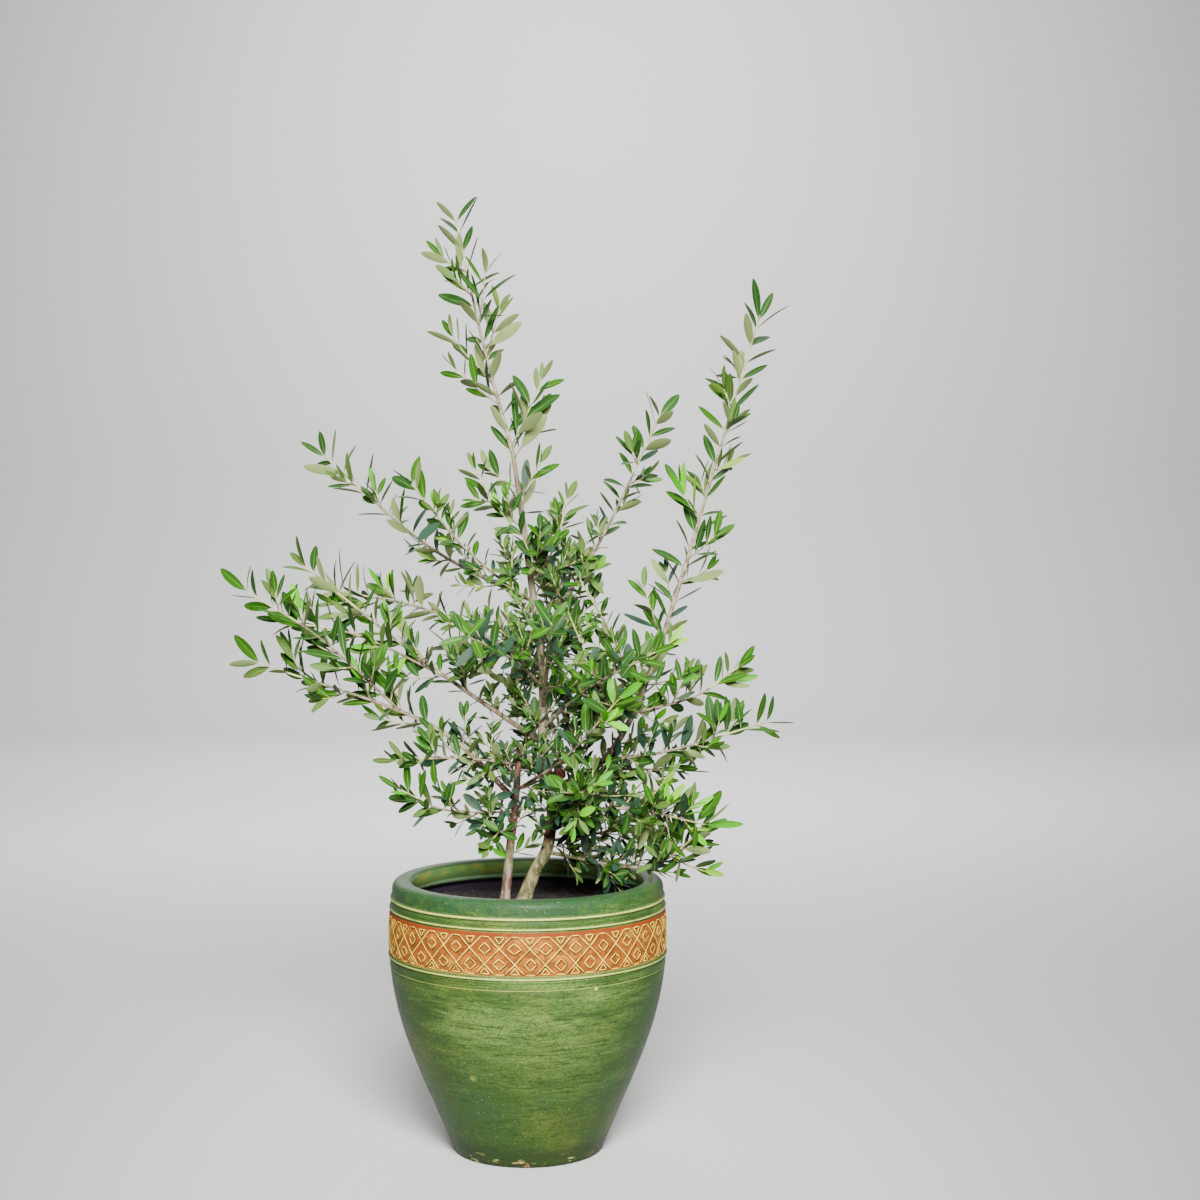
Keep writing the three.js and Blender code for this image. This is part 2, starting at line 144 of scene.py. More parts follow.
def turned(name, outline, turns, ring=False):
    """A shape turned on the wheel from an outline of radius and height: a ring, or solid to the axis."""
    start_clean()
    bpy.ops.mesh.primitive_circle_add(vertices=len(outline), radius=1, fill_type="NOTHING")
    piece = bpy.context.object
    piece.name = name
    for vertex, (radius, height) in zip(piece.data.vertices, outline):
        vertex.co = (radius * MM, 0, height * MM)
    pick_edges(piece, lambda a, b: a.x == b.x == 0)
    if not ring:
        bpy.ops.mesh.delete(type="EDGE")
    bpy.ops.mesh.select_all(action="SELECT")
    bpy.ops.mesh.spin(steps=turns, angle=math.tau, center=(0, 0, 0), axis=(0, 0, 1))
    bpy.ops.mesh.select_all(action="SELECT")
    bpy.ops.mesh.remove_doubles(threshold=0.00002)
    bpy.ops.mesh.normals_make_consistent(inside=False)
    bpy.ops.object.mode_set(mode="OBJECT")
    bpy.ops.object.shade_smooth_by_angle(angle=math.radians(50))
    return piece


pot = turned("pot_body", pot_outline, POT_TURNS)


class Flow:
    """A value on its way through a material, so that sums of values are written as sums."""

    def __init__(self, socket):
        self.socket = socket

    def node(self, kind, settings, values, output=0):
        tree = self.socket.id_data
        made = tree.nodes.new(kind)
        for key, value in settings.items():
            setattr(made, key, value)
        for key, value in values.items():
            if isinstance(value, Flow):
                tree.links.new(value.socket, made.inputs[key])
            else:
                made.inputs[key].default_value = value
        return Flow(made.outputs[output])

    def math(self, operation, *values):
        return self.node("ShaderNodeMath", {"operation": operation}, dict(enumerate(values)))

    def __add__(self, other):
        return self.math("ADD", self, other)

    def __sub__(self, other):
        return self.math("SUBTRACT", self, other)

    def __rsub__(self, other):
        return self.math("SUBTRACT", other, self)

    def __mul__(self, other):
        return self.math("MULTIPLY", self, other)

    __radd__ = __add__
    __rmul__ = __mul__

    def axis(self, number):
        return self.node("ShaderNodeSeparateXYZ", {}, {0: self}, output=number)

    def rise(self, start, end):
        """From 0 at the start to 1 at the end, or falling where the end is the smaller."""
        limits = {"Value": self, "From Min": start, "From Max": end}
        return self.node("ShaderNodeMapRange", {"interpolation_type": "SMOOTHSTEP"}, limits)

    def band(self, low, high, soft):
        return self.rise(low - soft, low + soft) * self.rise(high + soft, high - soft)

    def noise(self, scale, stretch=(1, 1, 1), detail=3, shift=0.0):
        moved = {"Vector": self, "Location": (shift,) * 3, "Scale": stretch}
        place = self.node("ShaderNodeMapping", {}, moved)
        values = {"Vector": place, "Scale": scale, "Detail": detail, "Roughness": 0.6}
        return place.node("ShaderNodeTexNoise", {}, values)

    def near(self, spot, size):
        """1 at a spot on the piece, falling to 0 at a distance from it."""
        away = self.node("ShaderNodeVectorMath", {"operation": "DISTANCE"}, {0: self, 1: spot}, output=1)
        return away.rise(size, size * 0.3)

    def tint(self, under, over):
        """One colour laid over another where this mask is 1."""
        both = [(*colour, 1) if isinstance(colour, tuple) else colour for colour in (under, over)]
        return self.node("ShaderNodeMix", {"data_type": "RGBA"}, {0: self, 6: both[0], 7: both[1]}, output=2)


def layered(colour, layers):
    """A colour with others laid over it in turn, each with its mask."""
    for mask, over in layers:
        colour = mask.tint(colour, over)
    return colour


def finish(name, constants):
    """A new material with its surface shader and the place on the piece, in metres."""
    material = bpy.data.materials.new(name)
    material.use_nodes = True
    surface = material.node_tree.nodes["Principled BSDF"]
    for key, value in constants.items():
        surface.inputs[key].default_value = value
    coordinates = material.node_tree.nodes.new("ShaderNodeTexCoord")
    return material, surface.inputs, Flow(coordinates.outputs["Object"])


def feed(surface, height=None, proud=0.001, **values):
    """Links flows to the surface, with a flow of height as relief."""
    for key, value in values.items():
        socket = surface[key.replace("_", " ").title()]
        socket.id_data.links.new(value.socket, socket)
    if height:
        relief = {"Height": height, "Distance": proud, "Strength": 1.0}
        bump = height.node("ShaderNodeBump", {}, relief)
        bump.socket.id_data.links.new(bump.socket, surface["Normal"])


# The glaze is brushed on in level strokes, thin and olive where it ran out and blue green where it pooled.
# Cream slip lies on the ridges. A drop of slip stands on the shoulder, and a gouge was fired in below it.
# Painted light makes the glaze lighter on the front, and painted shade makes it darker low down.
GLOSS = {"Coat Weight": 0.03, "Coat Roughness": 0.3, "Specular IOR Level": 0.1}
LIT_FRONT = (0.02, -0.19, 0.24)  # painted light: round this spot on the front, where the key light falls, the glaze is drawn lighter, over a real lighter patch of glaze
PIMPLE = (0.0995, -0.1715, 0.2695)
GOUGE = (-0.070, -0.149, 0.141)
glaze, surface, place = finish("green_glaze", GLOSS)
height = place.axis(2)
across = place.node("ShaderNodeVectorMath", {"operation": "MULTIPLY"}, {0: place, 1: (1, 1, 0)})
reach = across.node("ShaderNodeVectorMath", {"operation": "LENGTH"}, {0: across}, output=1)
broad = place.noise(1.0, (7, 7, 45), detail=8)
strokes = broad * 0.65 + place.noise(1.0, (30, 30, 260), detail=5, shift=4.4) * 0.35
cloud = place.noise(5.0, (1, 1, 0.8), detail=7, shift=3.1)
pools = place.noise(7.0, (1, 1, 1.1), detail=6, shift=7.7)
fine = place.noise(420.0, detail=2)
mottle = place.noise(210.0, (1, 1, 2.2), detail=5, shift=2.6)
# Painted light: the strokes are pushed towards their lighter colour near the lit front spot.
strokes_and_lit_front = strokes - 0.14 + place.near(LIT_FRONT, 0.22) * 0.14
scratches = place.noise(1.0, (30, 30, 300), detail=3, shift=11.0).rise(0.55, 0.66)
specks = fine.rise(0.67, 0.73) * 0.5
pits = place.noise(230.0, detail=1, shift=2.0).rise(0.68, 0.74)
lip_mix = height.rise(0.358, 0.38) * place.noise(12.0, (1, 1, 2), detail=5, shift=1.3).rise(0.3, 0.62)
lip_patch = height.rise(0.371, 0.376) * place.noise(11.0, detail=6, shift=9.5).rise(0.45, 0.57)
lip_top = height.rise(0.379, 0.391) * place.noise(14.0, (1, 1, 2), detail=5, shift=4.0).rise(0.2, 0.55)
scuffs = height.rise(0.022, 0.008) * place.noise(55.0, (1, 1, 3), detail=5, shift=5.0).rise(0.58, 0.66)
chips = height.rise(0.014, 0.006) * place.noise(42.0, detail=3, shift=9.0).rise(0.66, 0.7)
green = layered(
    strokes_and_lit_front.rise(0.33, 0.65).tint((0.026, 0.06, 0.01), (0.12, 0.2, 0.042)),
    [
        (height.rise(0.26, 0.05) * 0.75, (0.031, 0.064, 0.012)),  # painted shade: darker low down
        (cloud.rise(0.48, 0.66) * 0.4, (0.17, 0.19, 0.024)),
        (pools.rise(0.52, 0.68) * 0.4, (0.024, 0.078, 0.03)),
        (lip_mix * 0.7, (0.05, 0.115, 0.026)),
        (lip_patch * 0.8, (0.012, 0.046, 0.022)),
        (lip_top * 0.85, (0.016, 0.055, 0.02)),
        (mottle.rise(0.44, 0.6) * 0.55, (0.02, 0.045, 0.01)),
        (scratches * 0.75, (0.018, 0.042, 0.01)),
        (specks, (0.42, 0.44, 0.2)),
        (pits * 0.8, (0.015, 0.03, 0.012)),
        (height.rise(0.042, 0.018) * 0.85, (0.018, 0.034, 0.009)),  # dark round the foot
        (scuffs * 0.85, (0.42, 0.38, 0.13)),
        (chips, (0.5, 0.17, 0.07)),  # down to the red clay
    ],
)
slip = 0
for middle, width, rise in RIDGES:
    mark = height.band((middle - width * 0.2) * MM, (middle + width * 0.2) * MM, 0.0007)
    slip = mark * (0.5 if rise < 1 else 1.0) + slip
GROOVES = [(282.4, 2.2), (361.2, 1.8), (365.4, 1.4), (350.6, 0.9)]  # where dark glaze gathered, and its width
for middle, width in GROOVES:
    groove = height.band((middle - width / 2) * MM, (middle + width / 2) * MM, 0.0006)
    green = (groove * 0.7).tint(green, (0.025, 0.055, 0.012))
# Inside the mouth the glaze is dark and mottled with ochre; painted shade darkens it down the throat and
# makes the wall under its ledge nearly black, and a painted highlight runs along the ledge.
inside = reach.rise(0.188, 0.1865) * height.rise(0.33, 0.335)
throat = reach.rise(0.1765, 0.1745) * height.rise(0.3925, 0.388) * height.rise(0.33, 0.335)
ochre = throat * place.noise(30.0, (1, 1, 2), detail=5, shift=8.0).rise(0.45, 0.6)
# Painted highlight: a light line along the ledge's edge inside the mouth.
ledge_highlight = inside * height.band(0.3655, 0.3715, 0.0012)
slip = slip * place.noise(24.0, (1, 1, 3), detail=5, shift=6.0).rise(0.24, 0.46) * (1.0 - inside)
pimple, gouge = place.near(PIMPLE, 0.0046), place.near(GOUGE, 0.008)
green = layered(
    green,
    [
        (slip * 0.9, (0.48, 0.5, 0.12)),
        (throat * 0.85, (0.075, 0.15, 0.045)),
        (ochre * 0.8, (0.15, 0.17, 0.028)),
        # painted shade: darker down the throat
        (throat * height.rise(0.386, 0.372) * 0.6, (0.02, 0.045, 0.018)),
        # painted highlight along the ledge's edge
        (ledge_highlight * 0.85, (0.14, 0.25, 0.13)),
        # painted shade: nearly black under the ledge
        (inside * height.rise(0.3665, 0.363), (0.016, 0.012, 0.018)),
        (pimple, (0.52, 0.5, 0.17)),
        (gouge * 0.6, (0.2, 0.25, 0.05)),
    ],
)
relief = strokes * 0.45 + fine * 0.3 + mottle * 0.35 - pits * 0.5 - scratches * 0.3
relief = relief + pimple * 3.0 - gouge * 1.5
rough = 0.4 + strokes * 0.2 + specks * 0.2 + slip * 0.2
feed(surface, height=relief, proud=0.0007, base_color=green, roughness=rough)
pot.data.materials.append(glaze)
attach(pot, "root")
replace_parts(pot, "pot")

# ---- The carved band
# A belt of bare terracotta between the ridges, with a net of diamonds drawn on it in raised lines of clay,
# rubbed with cream slip. It is part of the same wall, coloured with an iron-red wash before the firing.

BAND_LOW = 291.4
BAND_HIGH = 353.4
DIAMONDS = 30  # in each of the two rows
ROW_UPPER = 330.2
ROW_RISE = 21.6  # half the height of a diamond
NET_LOW = 294.6
NET_HIGH = 346.2
LINE = 1.5  # width of a drawn line
LINE_SHADOW = 3.4  # how much wider the painted shadow under and beside it is
NET_RADIUS = 201.5
NET_TURN = 0.05  # where round the pot the first diamond stands
PITCH = math.tau * NET_RADIUS / DIAMONDS
HEART_WIDE, HEART_TALL = 8.6, 7.9  # half the width and height of the small diamond in each
HEART_LINE, EDGE_LINE = 1.5, 1.4
EDGE_WIDE = 6.4  # half the width of the triangles along both edges
EDGE_UPPER = (-0.4, -9.6)  # their base and point, from the net's upper edge
EDGE_LOWER = (0.6, 9.4)  # and from its lower edge


def rolled_template(sides, rings):
    """The points and faces of a bar with rings along it, as a start for strokes and limbs."""
    start_clean()
    bpy.ops.mesh.primitive_cylinder_add(vertices=sides, radius=1, depth=1, end_fill_type="NGON")
    bar = bpy.context.object
    pick_edges(bar, lambda a, b: abs(a.z - b.z) > 0.5)
    bpy.ops.mesh.subdivide(number_cuts=rings - 1)
    bpy.ops.object.mode_set(mode="OBJECT")
    points = [(vertex.co.x, vertex.co.y, round((vertex.co.z + 0.5) * rings)) for vertex in bar.data.vertices]
    faces = [tuple(face.vertices) for face in bar.data.polygons]
    bpy.data.objects.remove(bar)
    return points, faces


class Bulk:
    """Many small shapes gathered into one mesh."""

    def __init__(self):
        self.points = []
        self.faces = []

    def add(self, points, faces):
        first = len(self.points)
        self.points += [tuple(point) for point in points]
        self.faces += [tuple(first + i for i in face) for face in faces]

    def piece(self, name, material, slot):
        mesh = bpy.data.meshes.new(name)
        mesh.from_pydata(self.points, [], self.faces)
        made = bpy.data.objects.new(name, mesh)
        bpy.context.scene.collection.objects.link(made)
        mesh.materials.append(material)
        mesh.shade_smooth()
        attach(made, "root")
        return made


def on_wall(along, height, proud):
    """A place on the pot's wall, from a distance round it and a height, moved a little as a hand would."""
    sway = noise.noise_vector(Vector((along * 0.045, height * 0.06, 3.0)))
    along += 0.9 * sway.x
    height = min(max(height + 0.8 * sway.y, NET_LOW - 1), NET_HIGH + 1)
    turn = NET_TURN + along / NET_RADIUS
    radius = (wall_radius(height) + proud) * MM
    return Vector((radius * math.cos(turn), radius * math.sin(turn), height * MM))


noise.seed_set(1)  # without it the sway starts from the clock
lines, shadow_lines = Bulk(), Bulk()
long_bar = rolled_template(6, 14)
short_bar = rolled_template(6, 4)


def stroke(start, end, width=LINE, bar=short_bar):
    """A raised line of clay on the wall, thinner at its ends, with a painted shadow laid below and to the
    right of it.
    """
    points, faces = bar
    rings = max(ring for _, _, ring in points)
    slope = Vector((end[0] - start[0], end[1] - start[1])).normalized()
    raised, shadowed = [], []
    for x, y, ring in points:
        share = ring / rings
        along = start[0] + (end[0] - start[0]) * share
        height = start[1] + (end[1] - start[1]) * share
        half = width / 2 * (0.72 if ring in (0, rings) else 1.0)
        half *= 1 + 0.22 * noise.noise(Vector((along * 0.2, height * 0.2, 0)))
        raised.append(on_wall(along - slope.y * x * half, height + slope.x * x * half, y * half * 0.8 - 0.1))
        # Painted shadow: a wider dark copy of the line, shifted down and to the right, where its shade falls.
        wide = x * (width + LINE_SHADOW) / 2
        shadowed.append(on_wall(along + 0.4 - slope.y * wide, height - 0.5 + slope.x * wide, 0.22 * y))
    lines.add(raised, faces)
    shadow_lines.add(shadowed, faces)


def outline(corners, width):
    for start, end in zip(corners, corners[1:] + corners[:1]):
        stroke(start, end, width)


for i in range(DIAMONDS):
    middle = i * PITCH
    top, foot = ROW_UPPER + ROW_RISE, ROW_UPPER - 2 * ROW_RISE
    cut_top = (top - NET_HIGH) / ROW_RISE * PITCH / 2
    cut_foot = (NET_LOW - foot) / ROW_RISE * PITCH / 2
    for side in (1, -1):
        start = (middle + side * cut_top, NET_HIGH)
        end = (middle + side * (1.5 * PITCH - cut_foot), NET_LOW)
        stroke(start, end, bar=long_bar)
    stroke((middle - cut_top, NET_HIGH), (middle + cut_top, NET_HIGH))
    lower = middle + PITCH / 2
    stroke((lower - cut_foot, NET_LOW), (lower + cut_foot, NET_LOW))
    for centre, row, seed in ((middle, ROW_UPPER, 0), (lower, ROW_UPPER - ROW_RISE, 1)):
        drift = noise.noise_vector(Vector((i * 1.7, seed * 9.0, 0.5)))
        centre, row = centre + 1.6 * drift.x, row + 1.2 * drift.y
        wide, tall = HEART_WIDE + 1.6 * drift.z, HEART_TALL + 1.4 * drift.x
        corners = [(centre - wide, row), (centre, row + tall), (centre + wide, row), (centre, row - tall)]
        outline(corners, HEART_LINE)
    for centre, edge, (base, point) in ((lower, NET_HIGH, EDGE_UPPER), (middle, NET_LOW, EDGE_LOWER)):
        left, right = (centre - EDGE_WIDE, edge + base), (centre + EDGE_WIDE, edge + base)
        outline([left, right, (centre, edge + point)], EDGE_LINE)

clay, surface, place = finish("band_clay", {"Specular IOR Level": 0.1})
height = place.axis(2)
wash = place.noise(11.0, (1, 1, 2), detail=5, shift=2.0)
grain = place.noise(300.0, detail=3)
red = wash.rise(0.35, 0.65).tint((0.18, 0.04, 0.004), (0.37, 0.112, 0.009))
red = layered(
    red,
    [
        (place.noise(45.0, detail=5, shift=4.0).rise(0.46, 0.7) * 0.5, (0.42, 0.22, 0.03)),
        (place.noise(70.0, detail=6, shift=6.0).rise(0.45, 0.6) * 0.85, (0.13, 0.04, 0.008)),
        (height.rise(0.3462, 0.3476) * 0.85, (0.18, 0.028, 0.005)),  # the bare red margin above the net
        (height.rise(0.2935, 0.2922) * 0.85, (0.17, 0.2, 0.05)),  # glaze that ran on to its lower edge
    ],
)
feed(surface, height=wash * 0.4 + grain * 0.5, proud=0.0006, base_color=red, roughness=0.6 + grain * 0.2)
slip_rub, surface, place = finish("cream_lines", {"Specular IOR Level": 0.2})
rub = place.noise(70.0, detail=4, shift=1.0).rise(0.3, 0.5)
cream = rub.tint((0.4, 0.2, 0.012), (0.82, 0.58, 0.05))
grain = place.noise(350.0, detail=2)
feed(surface, height=grain, proud=0.0003, base_color=cream, roughness=0.5 + grain * 0.2)

# Painted shadow under the raised lines, dark brown and patchy.
shadow_finish, surface, place = finish("band_line_shadow", {"Specular IOR Level": 0.15})
fade = place.noise(60.0, detail=4, shift=3.0).rise(0.4, 0.62)
grain = place.noise(300.0, detail=2)
brown = fade.tint((0.06, 0.024, 0.006), (0.22, 0.07, 0.012))
feed(surface, height=grain, proud=0.0003, base_color=brown, roughness=0.6 + grain * 0.2)

lines.piece("band_net", slip_rub, "glaze")
shadow_lines.piece("band_line_shadows", shadow_finish, "glaze")
belt_outline = [(wall_radius(height) + 0.12, height) for height in stepped(BAND_LOW, BAND_HIGH + 0.1, 1.9)]
belt_outline += [(wall_radius(height) - 1.2, height) for height in (BAND_HIGH, BAND_LOW)]
belt = turned("band_ground", belt_outline, POT_TURNS, ring=True)
belt.data.materials.append(clay)
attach(belt, "root")

# ---- The compost
# Dark potting compost, level and a little below the lip, with crumbs and chips of bark lying on it.

SOIL_LEVEL = 350
SOIL_RADIUS = 183
SOIL_GRID = 150
SOIL_DEPTH = 20
LUMP, CRUMB = 2.2, 1.1  # how far they stand up
LUMP_LOW = 2.0  # how far below its level the compost's middle height lies

start_clean()
bpy.ops.mesh.primitive_grid_add(x_subdivisions=SOIL_GRID, y_subdivisions=SOIL_GRID, size=2)
soil = bpy.context.object
soil.name = "compost_top"
for vertex in soil.data.vertices:
    x, y = vertex.co.x, vertex.co.y
    round_x = x * math.sqrt(1 - y * y / 2) * SOIL_RADIUS
    round_y = y * math.sqrt(1 - x * x / 2) * SOIL_RADIUS
    spot = Vector((round_x, round_y, 0))
    lump = LUMP * noise.fractal(spot * 0.035, 0.8, 2.0, 4) + CRUMB * noise.noise(spot * 0.22)
    vertex.co = (round_x * MM, round_y * MM, (SOIL_LEVEL - LUMP_LOW + lump) * MM)
bpy.ops.object.mode_set(mode="EDIT")
bpy.ops.mesh.select_all(action="SELECT")
bpy.ops.mesh.extrude_region_move(TRANSFORM_OT_translate={"value": (0, 0, -SOIL_DEPTH * MM)})
bpy.ops.object.mode_set(mode="OBJECT")
bpy.ops.object.shade_smooth_by_angle(angle=math.radians(60))
earth, surface, place = finish("compost", {"Specular IOR Level": 0.25})
crumb = place.noise(160.0, detail=6)
brown = crumb.rise(0.4, 0.65).tint((0.009, 0.007, 0.008), (0.04, 0.028, 0.024))
brown = place.noise(520.0, detail=1, shift=3.0).rise(0.7, 0.74).tint(brown, (0.16, 0.12, 0.09))
feed(surface, height=crumb, proud=0.004, base_color=brown, roughness=0.8 + crumb * 0.2)
soil.data.materials.append(earth)
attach(soil, "root")
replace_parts(soil, "soil")

# ---- The trunk and the second stem
# Two stems from one root: the trunk leans out of the compost and stands up, and a thinner stem beside it is
# cut off above its last fork. Their bark is grey and flaked at the foot, and brown and smoother above.

TRUNK_POINTS = [(-16, 8, 332), (8, 4, 398), (29, 0, 440), (36, 0, 515), (22, 0, 580)]
TRUNK_POINTS += [(22, 0, 690), (1, 0, 856), (-20, 0, 1005)]
STEM_POINTS = [(-37, -14, 332), (-30, -12, 390), (-25, -10, 444), (-18, -8, 500), (-12, -4, 590)]
TRUNK_FOOT, TRUNK_TOP = 9.5, 3.4
STEM_FOOT, STEM_TOP = 7.0, 4.6
FLARE = 5.5
FLARE_HEIGHT = 14
SUNK = 6  # how far the stems go on below the compost's level
STUB_POINTS = [(34, -3, 540), (43, -12, 545), (50, -20, 548)]
STUB_SIDES = 20
# Each ring of the stub has its share of the length and its radius. The last ones turn back into a dished end.
STUB_RINGS = [(0, 8.4), (0.12, 8.1), (0.24, 7.9), (0.36, 7.8), (0.48, 7.8), (0.6, 7.9), (0.72, 8.1)]
STUB_RINGS += [(0.84, 8.3), (0.95, 8.2), (1.0, 7.4), (0.97, 5.4), (0.92, 2.6), (0.9, 0.4)]


class Course:
    """A limb's middle line: a smooth curve through a few points, read by its share of the length."""

    STEPS = 200

    def __init__(self, points):
        points = [Vector(point) for point in points]
        self.straight = len(points) == 2
        self.points = [2 * points[0] - points[1], *points, 2 * points[-1] - points[-2]]
        samples = [self.raw(i / self.STEPS) for i in range(self.STEPS + 1)]
        self.lengths = [0.0]
        for a, b in zip(samples, samples[1:]):
            self.lengths.append(self.lengths[-1] + (b - a).length)
        self.length = self.lengths[-1]
        chord = (points[-1] - points[0]).normalized()
        self.pole = Vector((1, 0, 0)) if abs(chord.y) > 0.7 else Vector((0, -1, 0))

    def raw(self, t):
        spans = len(self.points) - 3
        first = min(int(t * spans), spans - 1)
        return between(*self.points[first : first + 4], t * spans - first)

    def at(self, share):
        if self.straight:
            return self.raw(share)
        wanted = min(max(share, 0.0), 1.0) * self.length
        low = min(bisect_right(self.lengths, wanted), self.STEPS) - 1
        span = self.lengths[low + 1] - self.lengths[low]
        return self.raw((low + (wanted - self.lengths[low]) / span) / self.STEPS)

    def axes(self, share):
        share = min(max(share, 0.0), 1.0)
        along = (self.at(min(share + 0.002, 1.0)) - self.at(max(share - 0.002, 0.0))).normalized()
        across = along.cross(self.pole).normalized()
        return along, across, across.cross(along)

    def at_height(self, height):
        count = 2 * self.STEPS
        return min(sum(self.at(i / count).z < height for i in range(count + 1)), count) / count


def limb(bulk, course, start, end, radius_at, template, relief=None):
    """A tapering limb, each ring of it square to its course, with bark relief where it is asked for."""
    points, faces = template
    rings = max(ring for _, _, ring in points)
    placed, stations = [], []
    for ring in range(rings + 1):
        share = start + (end - start) * ring / rings
        centre = course.at(share)
        stations.append((centre, *course.axes(share)[1:], radius_at(share, centre)))
    for x, y, ring in points:
        centre, across, other, radius = stations[ring]
        out = across * x + other * y
        spot = centre + out * radius
        if relief:
            spot += out * relief(spot, radius)
        placed.append(spot * MM)
    bulk.add(placed, faces)


def flared(foot, top, highest):
    def radius_at(share, centre):
        above = max(0.0, centre.z - SOIL_LEVEL)
        return foot + (top - foot) * above / (highest - SOIL_LEVEL) + FLARE * math.exp(-above / FLARE_HEIGHT)
    return radius_at


def bark_relief(spot, radius):
    """Long flakes and shallow furrows, deeper on a thicker limb."""
    stretched = Vector((spot.x * 0.3, spot.y * 0.3, spot.z * 0.06))
    furrow = abs(noise.noise(stretched)) ** 0.6 - 0.45
    swell = noise.noise(Vector((spot.x * 0.02, spot.y * 0.02, spot.z * 0.045)))
    return radius * (0.1 * furrow + 0.1 * swell)


trunk_course = Course(TRUNK_POINTS)
stem_course = Course(STEM_POINTS)
# Each upright's course, its radius, and its sides and rings.
uprights = {
    "trunk": (trunk_course, flared(TRUNK_FOOT, TRUNK_TOP, 1005), 28, 240),
    "second_stem": (stem_course, flared(STEM_FOOT, STEM_TOP, 590), 24, 110),
}

bark, surface, place = finish("bark", {"Specular IOR Level": 0.3})
height = place.axis(2)
flake = place.noise(120.0, (1, 1, 0.25), detail=6)
patch = place.noise(30.0, (1, 1, 0.5), detail=4, shift=2.0)
grey = flake.rise(0.35, 0.65).tint((0.06, 0.045, 0.024), (0.2, 0.165, 0.1))
brown = flake.rise(0.35, 0.65).tint((0.02, 0.009, 0.005), (0.085, 0.034, 0.018))
khaki = flake.rise(0.38, 0.62).tint((0.05, 0.05, 0.016), (0.2, 0.175, 0.08))
colour = height.rise(0.55, 0.64).tint(brown, grey)
colour = height.rise(0.458, 0.43).tint(colour, khaki)
# The foot of the thinner stem has lost its outer bark, pale with red brown scraps left on it.
stem_side = place.axis(0).rise(-0.012, -0.02)
bare = stem_side * height.rise(0.425, 0.405)
scraps = flake.rise(0.42, 0.6).tint((0.07, 0.03, 0.018), (0.2, 0.165, 0.12))
colour = bare.tint(colour, scraps)
lichen = place.noise(210.0, detail=2, shift=5.0).rise(0.6, 0.68)
colour = (lichen * 0.4).tint(colour, (0.4, 0.42, 0.28))
feed(surface, height=flake + patch * 0.3, proud=0.0014, base_color=colour, roughness=0.75 + flake * 0.2)

for name, (course, radius_at, sides, rings) in uprights.items():
    wood = Bulk()
    start = course.at_height(SOIL_LEVEL - SUNK)
    limb(wood, course, start, 1.0, radius_at, rolled_template(sides, rings), bark_relief)
    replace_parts(wood.piece(name + "_bark", bark, "bark"), name)

# A limb was pruned off the trunk, and its stub has dried red brown with a dished end.
stub_course = Course(STUB_POINTS)
points, faces = rolled_template(STUB_SIDES, len(STUB_RINGS) - 1)
placed = []
for x, y, ring in points:
    share, radius = STUB_RINGS[ring]
    _, across, other = stub_course.axes(share)
    out = across * x + other * y
    spot = stub_course.at(share) + out * radius
    placed.append((spot + out * bark_relief(spot, radius)) * MM)
stub = Bulk()
stub.add(placed, faces)
dried, surface, place = finish("dried_wood", {"Specular IOR Level": 0.3})
flake = place.noise(260.0, detail=5)
rust = flake.rise(0.35, 0.65).tint((0.03, 0.008, 0.005), (0.15, 0.045, 0.024))
feed(surface, height=flake, proud=0.001, base_color=rust, roughness=0.7 + flake * 0.2)
stub.piece("pruned_stub", dried, "bark")

# ---- The boughs
# Each bough leaves the trunk, the second stem or another bough at a fork, and tapers on as a leafy shoot.

